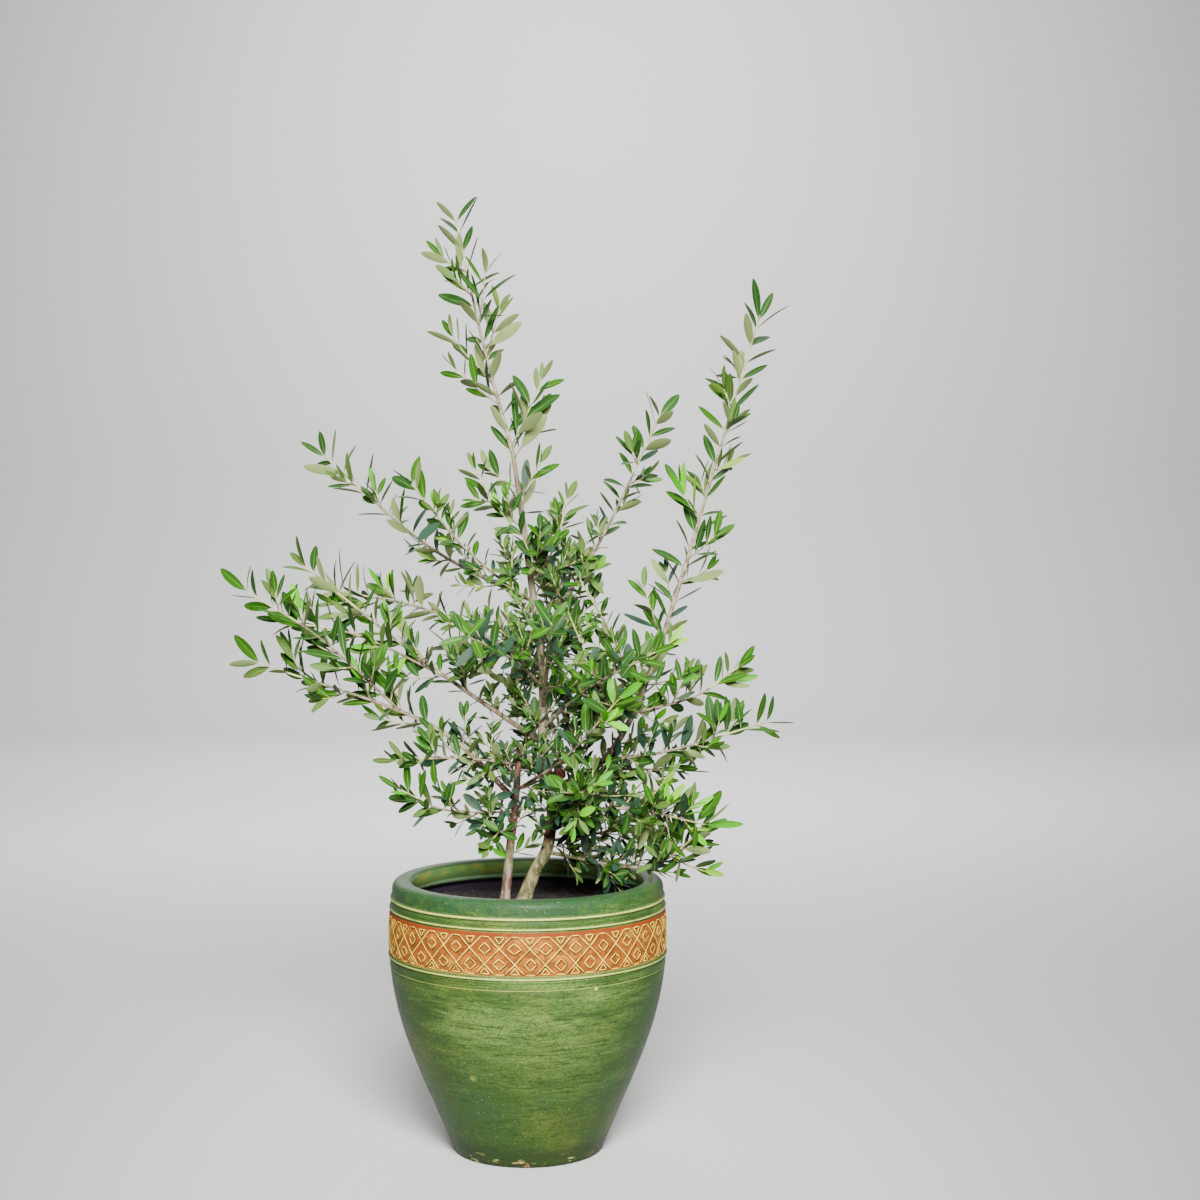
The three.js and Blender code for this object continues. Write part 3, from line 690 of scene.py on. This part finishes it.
# A limb's name, what it grows on, the height where it leaves that (or, below 1, the share of the shoot where
# it forks off), its tip, its bend, the share of it that is bare, its radius and the scale of its side shoots.
LIMB_ROWS = [
    ("leader", "trunk", 1005, (-103, 10, 1346), (0.5, -4, 0, 0), 0, 3.3, 1.3),
    ("left_reach", "second_stem", 509, (-381, -60, 711), (0.34, 0, 0, 42), 0.2, 4.4, 0.8),
    ("left_far", "left_reach", 0.5, (-385, -130, 815), (0.5, -2, -10, 18), 0.1, 2.2, 0.5),
    ("left_rise", "trunk", 590, (-320, -20, 848), (0.5, -4, 0, -6), 0.24, 4.2, 0.8),
    ("left_fork", "left_rise", 0.4, (-341, -70, 770), (0.55, 0, 0, 16), 0.1, 2.2, 0.5),
    ("left_mid", "trunk", 700, (-294, 120, 809), (0.5, 0, 0, 22), 0.2, 3.4, 0.6),
    ("left_high", "trunk", 795, (-308, 105, 1010), (0.5, 0, 0, -26), 0.22, 3.4, 0.6),
    ("left_inner", "bough_left_high", 808, (-160, -85, 964), (0.5, -4, 0, -8), 0, 2, 0.5),
    ("left_droop", "second_stem", 490, (-177, -80, 532), (0.6, 0, 0, -16), 0, 1.8, 0.4),
    ("left_low", "second_stem", 560, (-183, -90, 575), (0.5, 0, 0, 6), 0, 2, 0.5),
    ("left_twig", "second_stem", 468, (-50, -118, 452), (0.5, -6, 0, 6), 0, 1.6, 0),
    ("right_main", "trunk", 500, (342, 88, 1215), (0.25, 50, -10, -26), 0.3, 5.2, 0.85),
    ("right_rise", "trunk", 740, (188, -118, 1058), (0.5, 8, 0, -6), 0.2, 3.4, 0.6),
    ("right_lean", "bough_right_main", 652, (77, -60, 829), (0.5, 6, 0, 0), 0, 2.6, 0.7),
    ("right_front", "bough_right_main", 598, (60, -95, 785), (0.5, 0, -8, 0), 0, 2.6, 0.7),
    ("right_side", "bough_right_main", 632, (303, -30, 702), (0.6, 0, 0, -14), 0, 2.4, 0.6),
    ("right_low", "trunk", 560, (344, -50, 626), (0.5, 0, 0, -16), 0.3, 3.4, 0.7),
    ("right_short", "trunk", 528, (231, 60, 542), (0.5, 0, 0, 12), 0.25, 3, 0.6),
    ("right_arch", "trunk", 484, (253, -80, 483), (0.5, 0, 0, 16), 0.25, 3, 0.6),
    ("right_rim", "trunk", 430, (247, -50, 465), (0.62, 6, 0, -38), 0.3, 3, 0.5),
    ("back_low", "trunk", 446, (180, 112, 470), (0.5, 0, 0, -8), 0, 2.6, 0.8),
    ("front_centre", "second_stem", 522, (130, -165, 667), (0.5, 0, -6, -14), 0.25, 2.6, 0.6),
    ("front_low", "trunk", 462, (98, -158, 550), (0.5, 0, 0, 8), 0, 2.2, 0.6),
    ("front_high", "trunk", 640, (40, -235, 775), (0.4, 0, 0, 12), 0.22, 3, 0.9),
    ("front_right", "trunk", 612, (178, -220, 735), (0.4, 0, 0, 12), 0.22, 3, 0.9),
    ("front_left", "trunk", 668, (-78, -225, 760), (0.4, 0, 0, 12), 0.22, 3, 0.9),
    ("back_high", "trunk", 655, (50, 205, 850), (0.4, 0, 0, 10), 0.22, 3, 0.9),
    ("back_right", "trunk", 575, (172, 205, 668), (0.4, 0, 0, 14), 0.22, 3, 0.9),
    ("back_left", "trunk", 620, (-125, 205, 716), (0.4, 0, 0, 14), 0.22, 3, 0.9),
    ("top_right", "trunk", 820, (58, -45, 943), (0.5, 8, 0, -6), 0, 2.2, 0.7),
    ("top_back", "trunk", 770, (93, 85, 900), (0.5, 8, 0, -6), 0, 2.2, 0.7),
    ("top_left", "trunk", 900, (-72, -40, 985), (0.5, -8, 0, -6), 0, 2, 0.6),
]
COLUMNS = ("name", "on", "at", "tip", "bend", "bare", "radius", "side")
SHOOT_TIP = 1.7  # the radius that every limb tapers to
LIMBS = [dict(zip(COLUMNS, row)) for row in LIMB_ROWS]

courses = {"trunk": trunk_course, "second_stem": stem_course}
for each in LIMBS:
    parent = courses[each["on"]]
    each["fork"] = each["at"] < 1
    start = parent.at(each["at"] if each["fork"] else parent.at_height(each["at"]))
    share, x, y, z = each["bend"]
    tip = Vector(each["tip"])
    each["course"] = Course([start, start.lerp(tip, share) + Vector((x, y, z)), tip])
    courses[each["name"]] = courses["bough_" + each["name"]] = each["course"]
    each["radius_at"] = lambda share, centre, base=each["radius"]: base + (SHOOT_TIP - base) * share

bough_bar = rolled_template(14, 60)
for each in LIMBS:
    if each["bare"] and not each["fork"]:
        wood = Bulk()
        limb(wood, each["course"], 0.0, each["bare"], each["radius_at"], bough_bar, bark_relief)
        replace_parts(wood.piece("bough_" + each["name"] + "_bark", bark, "bark"), "bough_" + each["name"])

# ---- The shoots
# Slim side shoots leave each limb in turn round it, long near its foot and short near its tip, with short
# spurs on the trunk and on the bare feet of the boughs. Old wood is grey brown and the tips are yellow green.

TWIG_GAP, LOW_TWIG_GAP = 50, 21  # along a limb, between side shoots: high in the crown and low
TWIG_LENGTH = 112
LEAST_TWIG = 24
TWIG_LIFT = 0.1  # how much a side shoot turns up to the light
TWIG_RISE = 0.07  # how far its tip bends up, as a share of its length
TWIG_TIP = 0.75  # its radius there
BARE_FOOT = 22  # the bare start of a shoot that has no bough
SPRIGGED = 58  # the shortest side shoot that has side shoots of its own
SPRIG_GAP = 26
SPRIG_SHARE = 0.36  # their length over its length
SPRIG_LEAN, SPRIG_FOOT = 0.75, 0.9
WOOD_CLEAR = 7  # from a leaf or shoot to the middle of thick wood
# The crown's middle line at 500 mm up, and how far from it the crown's outside starts and is full.
CROWN_HEART = (30, 70, 230)
CROWN_TOP = (820, 1020)  # all that stands high is outside too: where that starts and is full


def chance(limb_number, part, use):
    """The same fraction from 0 to 1 for the same three whole numbers."""
    wave = math.sin(limb_number * 12.9898 + part * 78.233 + use * 37.719) * 43758.5453
    return wave - math.floor(wave)


def out_of(course, share, turn, lean, lift):
    """A direction out of a shoot, turned round it by an angle, leaning to its tip and lifted to the light."""
    along, across, other = course.axes(share)
    out = across * math.cos(turn) + other * math.sin(turn)
    direction = along * math.cos(lean) + out * math.sin(lean)
    direction.z += lift
    return direction.normalized(), along


def outerness(spot):
    """0 in the heart of the crown and 1 on its outside and top."""
    middle, start, full = CROWN_HEART
    low, high = CROWN_TOP
    reach = math.hypot(spot.x - middle + 0.1 * (spot.z - 500), spot.y)
    share = max((reach - start) / (full - start), (spot.z - low) / (high - low))
    return min(max(share, 0.0), 1.0)


wood_spots = [trunk_course.at(i / 120) for i in range(121)] + [stem_course.at(i / 50) for i in range(51)]
for each in LIMBS:
    if each["bare"]:
        wood_spots += [each["course"].at(each["bare"] * i / 12) for i in range(13)]
near_wood = kdtree.KDTree(len(wood_spots))
for i, spot in enumerate(wood_spots):
    near_wood.insert(spot, i)
near_wood.balance()


# The leaves part in front of the pruned stub (its place across and up, the gap's radius, and where it starts
# forward of the stem) and of a stretch of the trunk (its left and right, its foot and top, its start).
STUB_GAP = (52, 552, 13, -26)
TRUNK_GAP = (18, 36, 600, 740, -30)


def blocked(spot):
    """Whether a point of a leaf or shoot would be in the pot, the compost, thick wood or an open gap."""
    reach = math.hypot(spot.x, spot.y)
    if spot.z < SOIL_LEVEL + 4 or (spot.z < POT_HEIGHT + 2 and reach > POT_MOUTH - 4):
        return True
    x, z, radius, front = STUB_GAP
    if spot.y < front and math.hypot(spot.x - x, spot.z - z + 0.12 * spot.y) < radius:
        return True
    left, right, low, high, front = TRUNK_GAP
    if spot.y < front and left < spot.x < right and low < spot.z < high:
        return True
    return near_wood.find(spot)[2] < WOOD_CLEAR


shoots = []


def side_shoot(seed, limb_name, parent, share, turn, lean, length, foot):
    """A side shoot on a limb, rising a little towards its tip, unless something is in its way."""
    direction, _ = out_of(parent, share, turn, lean, TWIG_LIFT)
    start = parent.at(share)
    tip = start + direction * length + Vector((0, 0, TWIG_RISE * length))
    if any(blocked(start.lerp(tip, part)) for part in (0.5, 0.75, 1.0)):
        return
    course = Course([start, start + direction * length * 0.55, tip])
    taper = lambda share, centre: foot + (TWIG_TIP - foot) * share
    shoots.append(dict(seed=seed, name=limb_name, course=course, first=0.0, start=0.12, radius_at=taper))
    if length < SPRIGGED or outerness(course.at(0.6)) > 0.5:
        return
    count = round(length / SPRIG_GAP)
    for i in range(count):
        part = 0.2 + 0.55 * (i + chance(seed, i, 21)) / count
        turn = math.pi / 3 + i * 2.0 + chance(seed, i, 22)
        small = length * SPRIG_SHARE * (0.7 + 0.6 * chance(seed, i, 23))
        side_shoot(seed * 7 + i + 3, limb_name, course, part, turn, SPRIG_LEAN, small, SPRIG_FOOT)


for index, each in enumerate(LIMBS):
    course, bare = each["course"], each["bare"]
    radius_at = lambda share, centre, wood=each["radius_at"]: wood(share, centre) * (1 - 0.35 * share)
    start = bare if bare or each["name"] == "leader" else BARE_FOOT / course.length
    first = 0.0 if each["fork"] else bare
    shoots.append(
        dict(seed=index * 50, name=each["name"], course=course, first=first, start=start, radius_at=radius_at)
    )
    gap = LOW_TWIG_GAP + (TWIG_GAP - LOW_TWIG_GAP) * min(max((each["tip"][2] - 500) / 250, 0), 1)
    count = round(course.length * (1 - bare) / gap) if each["side"] else 0
    for i in range(count):
        share = bare + (0.9 - bare) * (i + 0.2 + 0.6 * chance(index, i, 1)) / (count + 0.2)
        turn = math.pi / 4 + i * math.pi / 2 + 0.9 * (chance(index, i, 2) - 0.5)
        length = TWIG_LENGTH * each["side"] * (1 - 0.8 * share) * (0.35 + 0.85 * chance(index, i, 4))
        foot = min(1.5, 0.7 * each["radius"] * (1 - share) + 1)
        lean = 0.75 + 0.3 * chance(index, i, 3)
        length = max(length, LEAST_TWIG)
        side_shoot(index * 50 + i + 1, each["name"], course, share, turn, lean, length, foot)

# Where spurs grow on bare wood: a limb, the stretch of it, the longest spur and the gap between spurs.
SPURRED = [
    ("trunk", trunk_course.at_height(425), trunk_course.at_height(640), 84, 13),
    ("trunk", trunk_course.at_height(640), trunk_course.at_height(860), 96, 16),
    ("trunk", trunk_course.at_height(860), 1.0, 74, 26),
    ("second_stem", stem_course.at_height(425), 0.96, 76, 13),
]
SPURRED += [("bough_" + each["name"], 0.06, each["bare"], 58, 22) for each in LIMBS if each["bare"]]
SPURRED += [(name, 0.3, 0.85, 62, 13) for name in ("right_rim", "back_low", "right_arch", "front_low")]
for index, (name, first, last, longest, gap) in enumerate(SPURRED):
    course = courses[name]
    count = round(course.length * (last - first) / gap)
    for i in range(count):
        share = first + (last - first) * (i + chance(index + 60, i, 1)) / count
        length = longest * (0.4 + 0.7 * chance(index + 60, i, 4))
        lean = 0.8 + 0.4 * chance(index + 60, i, 3)
        side_shoot(3000 + index * 50 + i, name, course, share, i * 2.4, lean, length, 1.3)

old_wood, young_wood = Bulk(), Bulk()
twig_bars = (rolled_template(5, 5), rolled_template(6, 9), rolled_template(8, 26))
for shoot in shoots:
    course, first = shoot["course"], shoot["first"]
    bar = twig_bars[0 if course.length < 60 else 1 if course.length < 150 else 2]
    turning = first + (1 - first) * (0.7 if course.length > 150 else 0.5)
    limb(old_wood, course, first, turning, shoot["radius_at"], bar)
    limb(young_wood, course, turning, 1.0, shoot["radius_at"], bar)

# ---- The leaves
# Narrow leathery leaves in pairs, each pair a quarter turn from the last: dark and glossy above with a pale
# rib, dull grey green beneath, and small and bright where they are young.

INNER_LEAF, OUTER_LEAF = 31, 57  # lengths in the heart of the crown and on its outside
INNER_GAP, OUTER_GAP = 13, 27  # between pairs
LEAF_SHAPE = 0.27  # width over length
LEAF_ROWS = [0, 0.07, 0.2, 0.36, 0.54, 0.72, 0.88, 0.96]
LEAF_WIDTHS = [0.07, 0.1, 0.54, 0.88, 1.0, 0.92, 0.6, 0.32]
LEAF_THICK = 0.35
RIB_FOOT, RIB_TIP, RIB_PROUD = 0.5, 0.1, 0.16  # half the rib's width at both ends, and how far it stands up
STRONG = 200  # a shoot this long is a strong one, with leaves of full size nearly to its tip
# The deep shade's blue grey is a painted sheen, and it goes to leaves in the heart of the crown as painted
# shade.
SHADES = {
    "deep": (0.017, 0.044, 0.023),
    "dark": (0.014, 0.052, 0.008),
    "full": (0.018, 0.076, 0.003),
    "olive": (0.055, 0.105, 0.02),
    "fresh": (0.035, 0.2, 0.001),
    "bright": (0.08, 0.32, 0.002),
    "young": (0.17, 0.37, 0.02),
}
# A leaf's shade goes by how young and how far out it is, from the first of these that is above it; leaves in
# the heart of the crown are darker as painted shade.
TONES = ((0.24, "deep"), (0.44, "dark"), (0.62, "full"), (0.76, "olive"), (0.86, "fresh"), (0.95, "bright"))
# Limbs whose outer leaves are lighter, and limbs towards the front whose leaves are smaller.
LIGHT_SHOOTS = {"left_twig", "front_centre", "front_low", "right_arch"}
LIGHTER = 0.24
FRONT_SHOOTS = {"front_high", "front_right", "front_left"}
SMALLER = 0.82
SHOWN_BACK = 0.5  # the share of the high leaves that are turned over
YOUNG_BACK = 0.74  # the tone above which a leaf's underside is a young one

uppers = {shade: Bulk() for shade in SHADES}
beneath, beneath_young, ribs = Bulk(), Bulk(), Bulk()
LAST_ROW = len(LEAF_ROWS) - 1
UPPER_FACES = []
for i in range(LAST_ROW):
    UPPER_FACES += [(3 * i, 3 * i + 1, 3 * i + 4, 3 * i + 3), (3 * i + 1, 3 * i + 2, 3 * i + 5, 3 * i + 4)]
LEAF_TIP = 3 * LAST_ROW + 3
UPPER_FACES += [(LEAF_TIP - 3, LEAF_TIP - 2, LEAF_TIP), (LEAF_TIP - 2, LEAF_TIP - 1, LEAF_TIP)]
UNDER_FACES = [tuple(reversed(face)) for face in UPPER_FACES]
RIB_FACES = [(2 * i, 2 * i + 1, 2 * i + 3, 2 * i + 2) for i in range(LAST_ROW)]


def leaf(root, along, face, length, width, arch, fold, shade, under):
    """A leaf arched along its length and folded a little along its rib."""
    across = face.cross(along).normalized()
    up = along.cross(across)
    half = width * length / 2
    upper, lower, rib = [], [], []
    for row, spread in zip(LEAF_ROWS, LEAF_WIDTHS):
        middle = root + along * row * length - up * arch * row * row * length
        side = half * spread
        lift = up * side * fold
        edges = [middle - across * side + lift, middle, middle + across * side + lift]
        upper += edges
        lower += [edges[0], middle - up * LEAF_THICK, edges[2]]
        rib_half = across * ((RIB_FOOT - RIB_TIP) * (1 - row) + RIB_TIP)
        rib += [middle - rib_half + up * RIB_PROUD, middle + rib_half + up * RIB_PROUD]
    tip = root + along * length - up * arch * length
    upper.append(tip)
    lower.append(tip)
    if any(blocked(upper[3 * row + 1]) for row in (3, 5, 7)):
        return
    uppers[shade].add([point * MM for point in upper], UPPER_FACES)
    under.add([point * MM for point in lower], UNDER_FACES)
    if shade not in ("deep", "young"):
        ribs.add([point * MM for point in rib], RIB_FACES)


for shoot in shoots:
    course, seed, start = shoot["course"], shoot["seed"], shoot["start"]
    length = course.length
    gap = INNER_GAP + (OUTER_GAP - INNER_GAP) * outerness(course.at(0.6))
    pairs = max(2, round((1 - start) * length / gap))
    spray = chance(seed, 3, 11) - 0.5
    strong = length > STRONG
    for node in range(pairs + 1):
        last = node == pairs
        share = 0.995 if last else start + (1 - start) * (node + 0.3) / pairs
        root = course.at(share)
        left = (1 - share) * length
        youth = max(0.0, 1 - left / 60) * (0.3 if strong else 1.0)
        outside = outerness(root)
        high = min(max((root.z - 900) / 120, 0.0), 1.0)
        size = INNER_LEAF + (OUTER_LEAF - INNER_LEAF) * outside
        size *= min(1.0, (0.9 if strong else 0.62) + left / 105)
        if shoot["name"] in FRONT_SHOOTS:
            size *= SMALLER
        for half in (0, 1):
            key = node * 2 + half
            turn = (node + 0.5) * math.pi / 2 + half * math.pi + 0.8 * (chance(seed, key, 5) - 0.5)
            lean = (1.15 if strong else 1.05) - 0.3 * youth
            if last:
                lean = 0.7 if strong else 0.4
            lean += 0.7 * (chance(seed, key, 6) - 0.5)
            direction, along = out_of(course, share, turn, lean, 0.1 + 0.25 * outside)
            face = along - direction * along.dot(direction)
            face += direction.cross(along) * 1.5 * (chance(seed, key, 12) - 0.5)
            over = 0.8 * high if chance(seed, key, 13) < SHOWN_BACK else 0.0
            face += Vector((0, over - 0.5 * outside - 0.1, 0.5 - 0.4 * outside))
            leaf_length = size * (0.78 + 0.4 * chance(seed, key, 7))
            width = LEAF_SHAPE * (0.78 + 0.5 * chance(seed, key, 8)) * (1.25 - 0.36 * outside)
            arch = 0.3 * (chance(seed, key, 9) - 0.35)
            pick = chance(seed, key, 10)
            tone = 0.2 + 0.1 * outside + 0.22 * youth + 0.34 * spray + 0.46 * (pick - 0.25)
            # Painted shade: leaves low in the heart of the crown are darker.
            tone -= 0.2 * (1 - outside) * max(0.0, min(1.0, (720 - root.z) / 120))
            if shoot["name"] in LIGHT_SHOOTS:
                tone += LIGHTER * outside
            if strong:
                tone -= 0.06
            tone = max(tone, 0.25 * outside)
            shade = next((kind for limit, kind in TONES if tone < limit), "young")
            under = beneath_young if tone > YOUNG_BACK else beneath
            leaf(root, direction, face, leaf_length, width, arch, 0.1 + 0.2 * pick, shade, under)

tops = []
for shade, bulk in uppers.items():
    gloss = {"Base Color": (*SHADES[shade], 1), "Roughness": 0.48, "Specular IOR Level": 0.1}
    top = finish("leaf_" + shade, gloss)[0]
    tops.append(bulk.piece("leaves_" + shade, top, "foliage"))
for name, bulk, colour in (
    ("leaf_backs", beneath, (0.13, 0.175, 0.058)),
    ("leaf_backs_young", beneath_young, (0.15, 0.26, 0.03)),
    ("leaf_ribs", ribs, (0.13, 0.21, 0.045)),
):
    matt = {"Base Color": (*colour, 1), "Roughness": 0.65, "Specular IOR Level": 0.12}
    bulk.piece(name, finish(name, matt)[0], "foliage")

pale, surface, place = finish("shoot_wood", {"Specular IOR Level": 0.3})
grain = place.noise(90.0, detail=4)
tan = grain.rise(0.35, 0.65).tint((0.09, 0.066, 0.036), (0.25, 0.21, 0.13))
feed(surface, height=place.noise(500.0, detail=2), proud=0.0004, base_color=tan, roughness=0.6 + grain * 0.2)
fresh, surface, place = finish("shoot_green", {"Specular IOR Level": 0.4})
grain = place.noise(60.0, detail=2)
sap = grain.rise(0.35, 0.65).tint((0.21, 0.21, 0.065), (0.4, 0.38, 0.16))
feed(surface, base_color=sap, roughness=0.45 + grain * 0.2)
old_wood.piece("shoots_old", pale, "bark")
young_wood.piece("shoots_young", fresh, "foliage")
masses = [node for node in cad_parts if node.startswith("foliage_")]
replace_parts(tops[0], *masses)

# ---- The studio
# A plain pale floor that sweeps up far behind, soft light from the front and above, and the camera.

CAMERA_PLACE = (0.105, -2.942, 0.897)
CAMERA_PITCH = -1.92
CAMERA_LENS = 60.9
FLOOR_WIDE, FLOOR_DEEP = 16, 12
SWEEP_RADIUS = 1.2
SWEEP_STEPS = 8
WALL_HEIGHT = 5
# Each lamp's name, its place, what it points at, its width, its power and its spread in degrees.
LAMPS = [
    ("key", (0.2, -2.05, 1.75), (0, 0, 0.7), 0.9, 60, 76),
    ("top", (0.2, 1.3, 3.2), (0, 0, 0.6), 2.6, 22, 180),
    ("back", (-0.7, 2.9, 2.2), (0, 0, 0.6), 2.4, 48, 180),
    ("wash", (0, 3.6, 3.8), (0, 6.6, 0.9), 2.6, 470, 180),
]

start_clean()
bpy.ops.mesh.primitive_plane_add(size=1)
floor = bpy.context.object
floor.name = "floor"
floor.scale = (FLOOR_WIDE, FLOOR_DEEP, 1)
bpy.ops.object.transform_apply(scale=True)
pick_edges(floor, lambda a, b: min(a.y, b.y) > 1)
for step in range(1, SWEEP_STEPS + 1):
    turn = step * math.pi / 2 / SWEEP_STEPS
    was = (step - 1) * math.pi / 2 / SWEEP_STEPS
    back, up = math.sin(turn) - math.sin(was), math.cos(was) - math.cos(turn)
    move = (0, SWEEP_RADIUS * back, SWEEP_RADIUS * up)
    bpy.ops.mesh.extrude_region_move(TRANSFORM_OT_translate={"value": move})
bpy.ops.mesh.extrude_region_move(TRANSFORM_OT_translate={"value": (0, 0, WALL_HEIGHT)})
bpy.ops.object.mode_set(mode="OBJECT")
bpy.ops.object.shade_smooth()
floor.data.materials.append(finish("paper", {"Base Color": (0.54, 0.535, 0.53, 1), "Roughness": 0.9})[0])

for name, spot, aim, size, power, spread in LAMPS:
    bpy.ops.object.light_add(type="AREA", location=spot)
    lamp = bpy.context.object
    lamp.name = name
    lamp.data.size = size
    lamp.data.energy = power
    lamp.data.spread = math.radians(spread)
    lamp.rotation_euler = (Vector(aim) - Vector(spot)).to_track_quat("-Z", "Y").to_euler()

world = bpy.data.worlds.new("daylight")
bpy.context.scene.world = world
world.use_nodes = True
sky = world.node_tree.nodes["Background"].inputs
sky["Color"].default_value = (0.92, 0.95, 1.0, 1)
sky["Strength"].default_value = 0.1

bpy.ops.object.camera_add(location=CAMERA_PLACE, rotation=(math.radians(90 + CAMERA_PITCH), 0, 0))
camera = bpy.context.object
camera.data.lens = CAMERA_LENS
camera.data.sensor_width = 36
bpy.context.scene.camera = camera
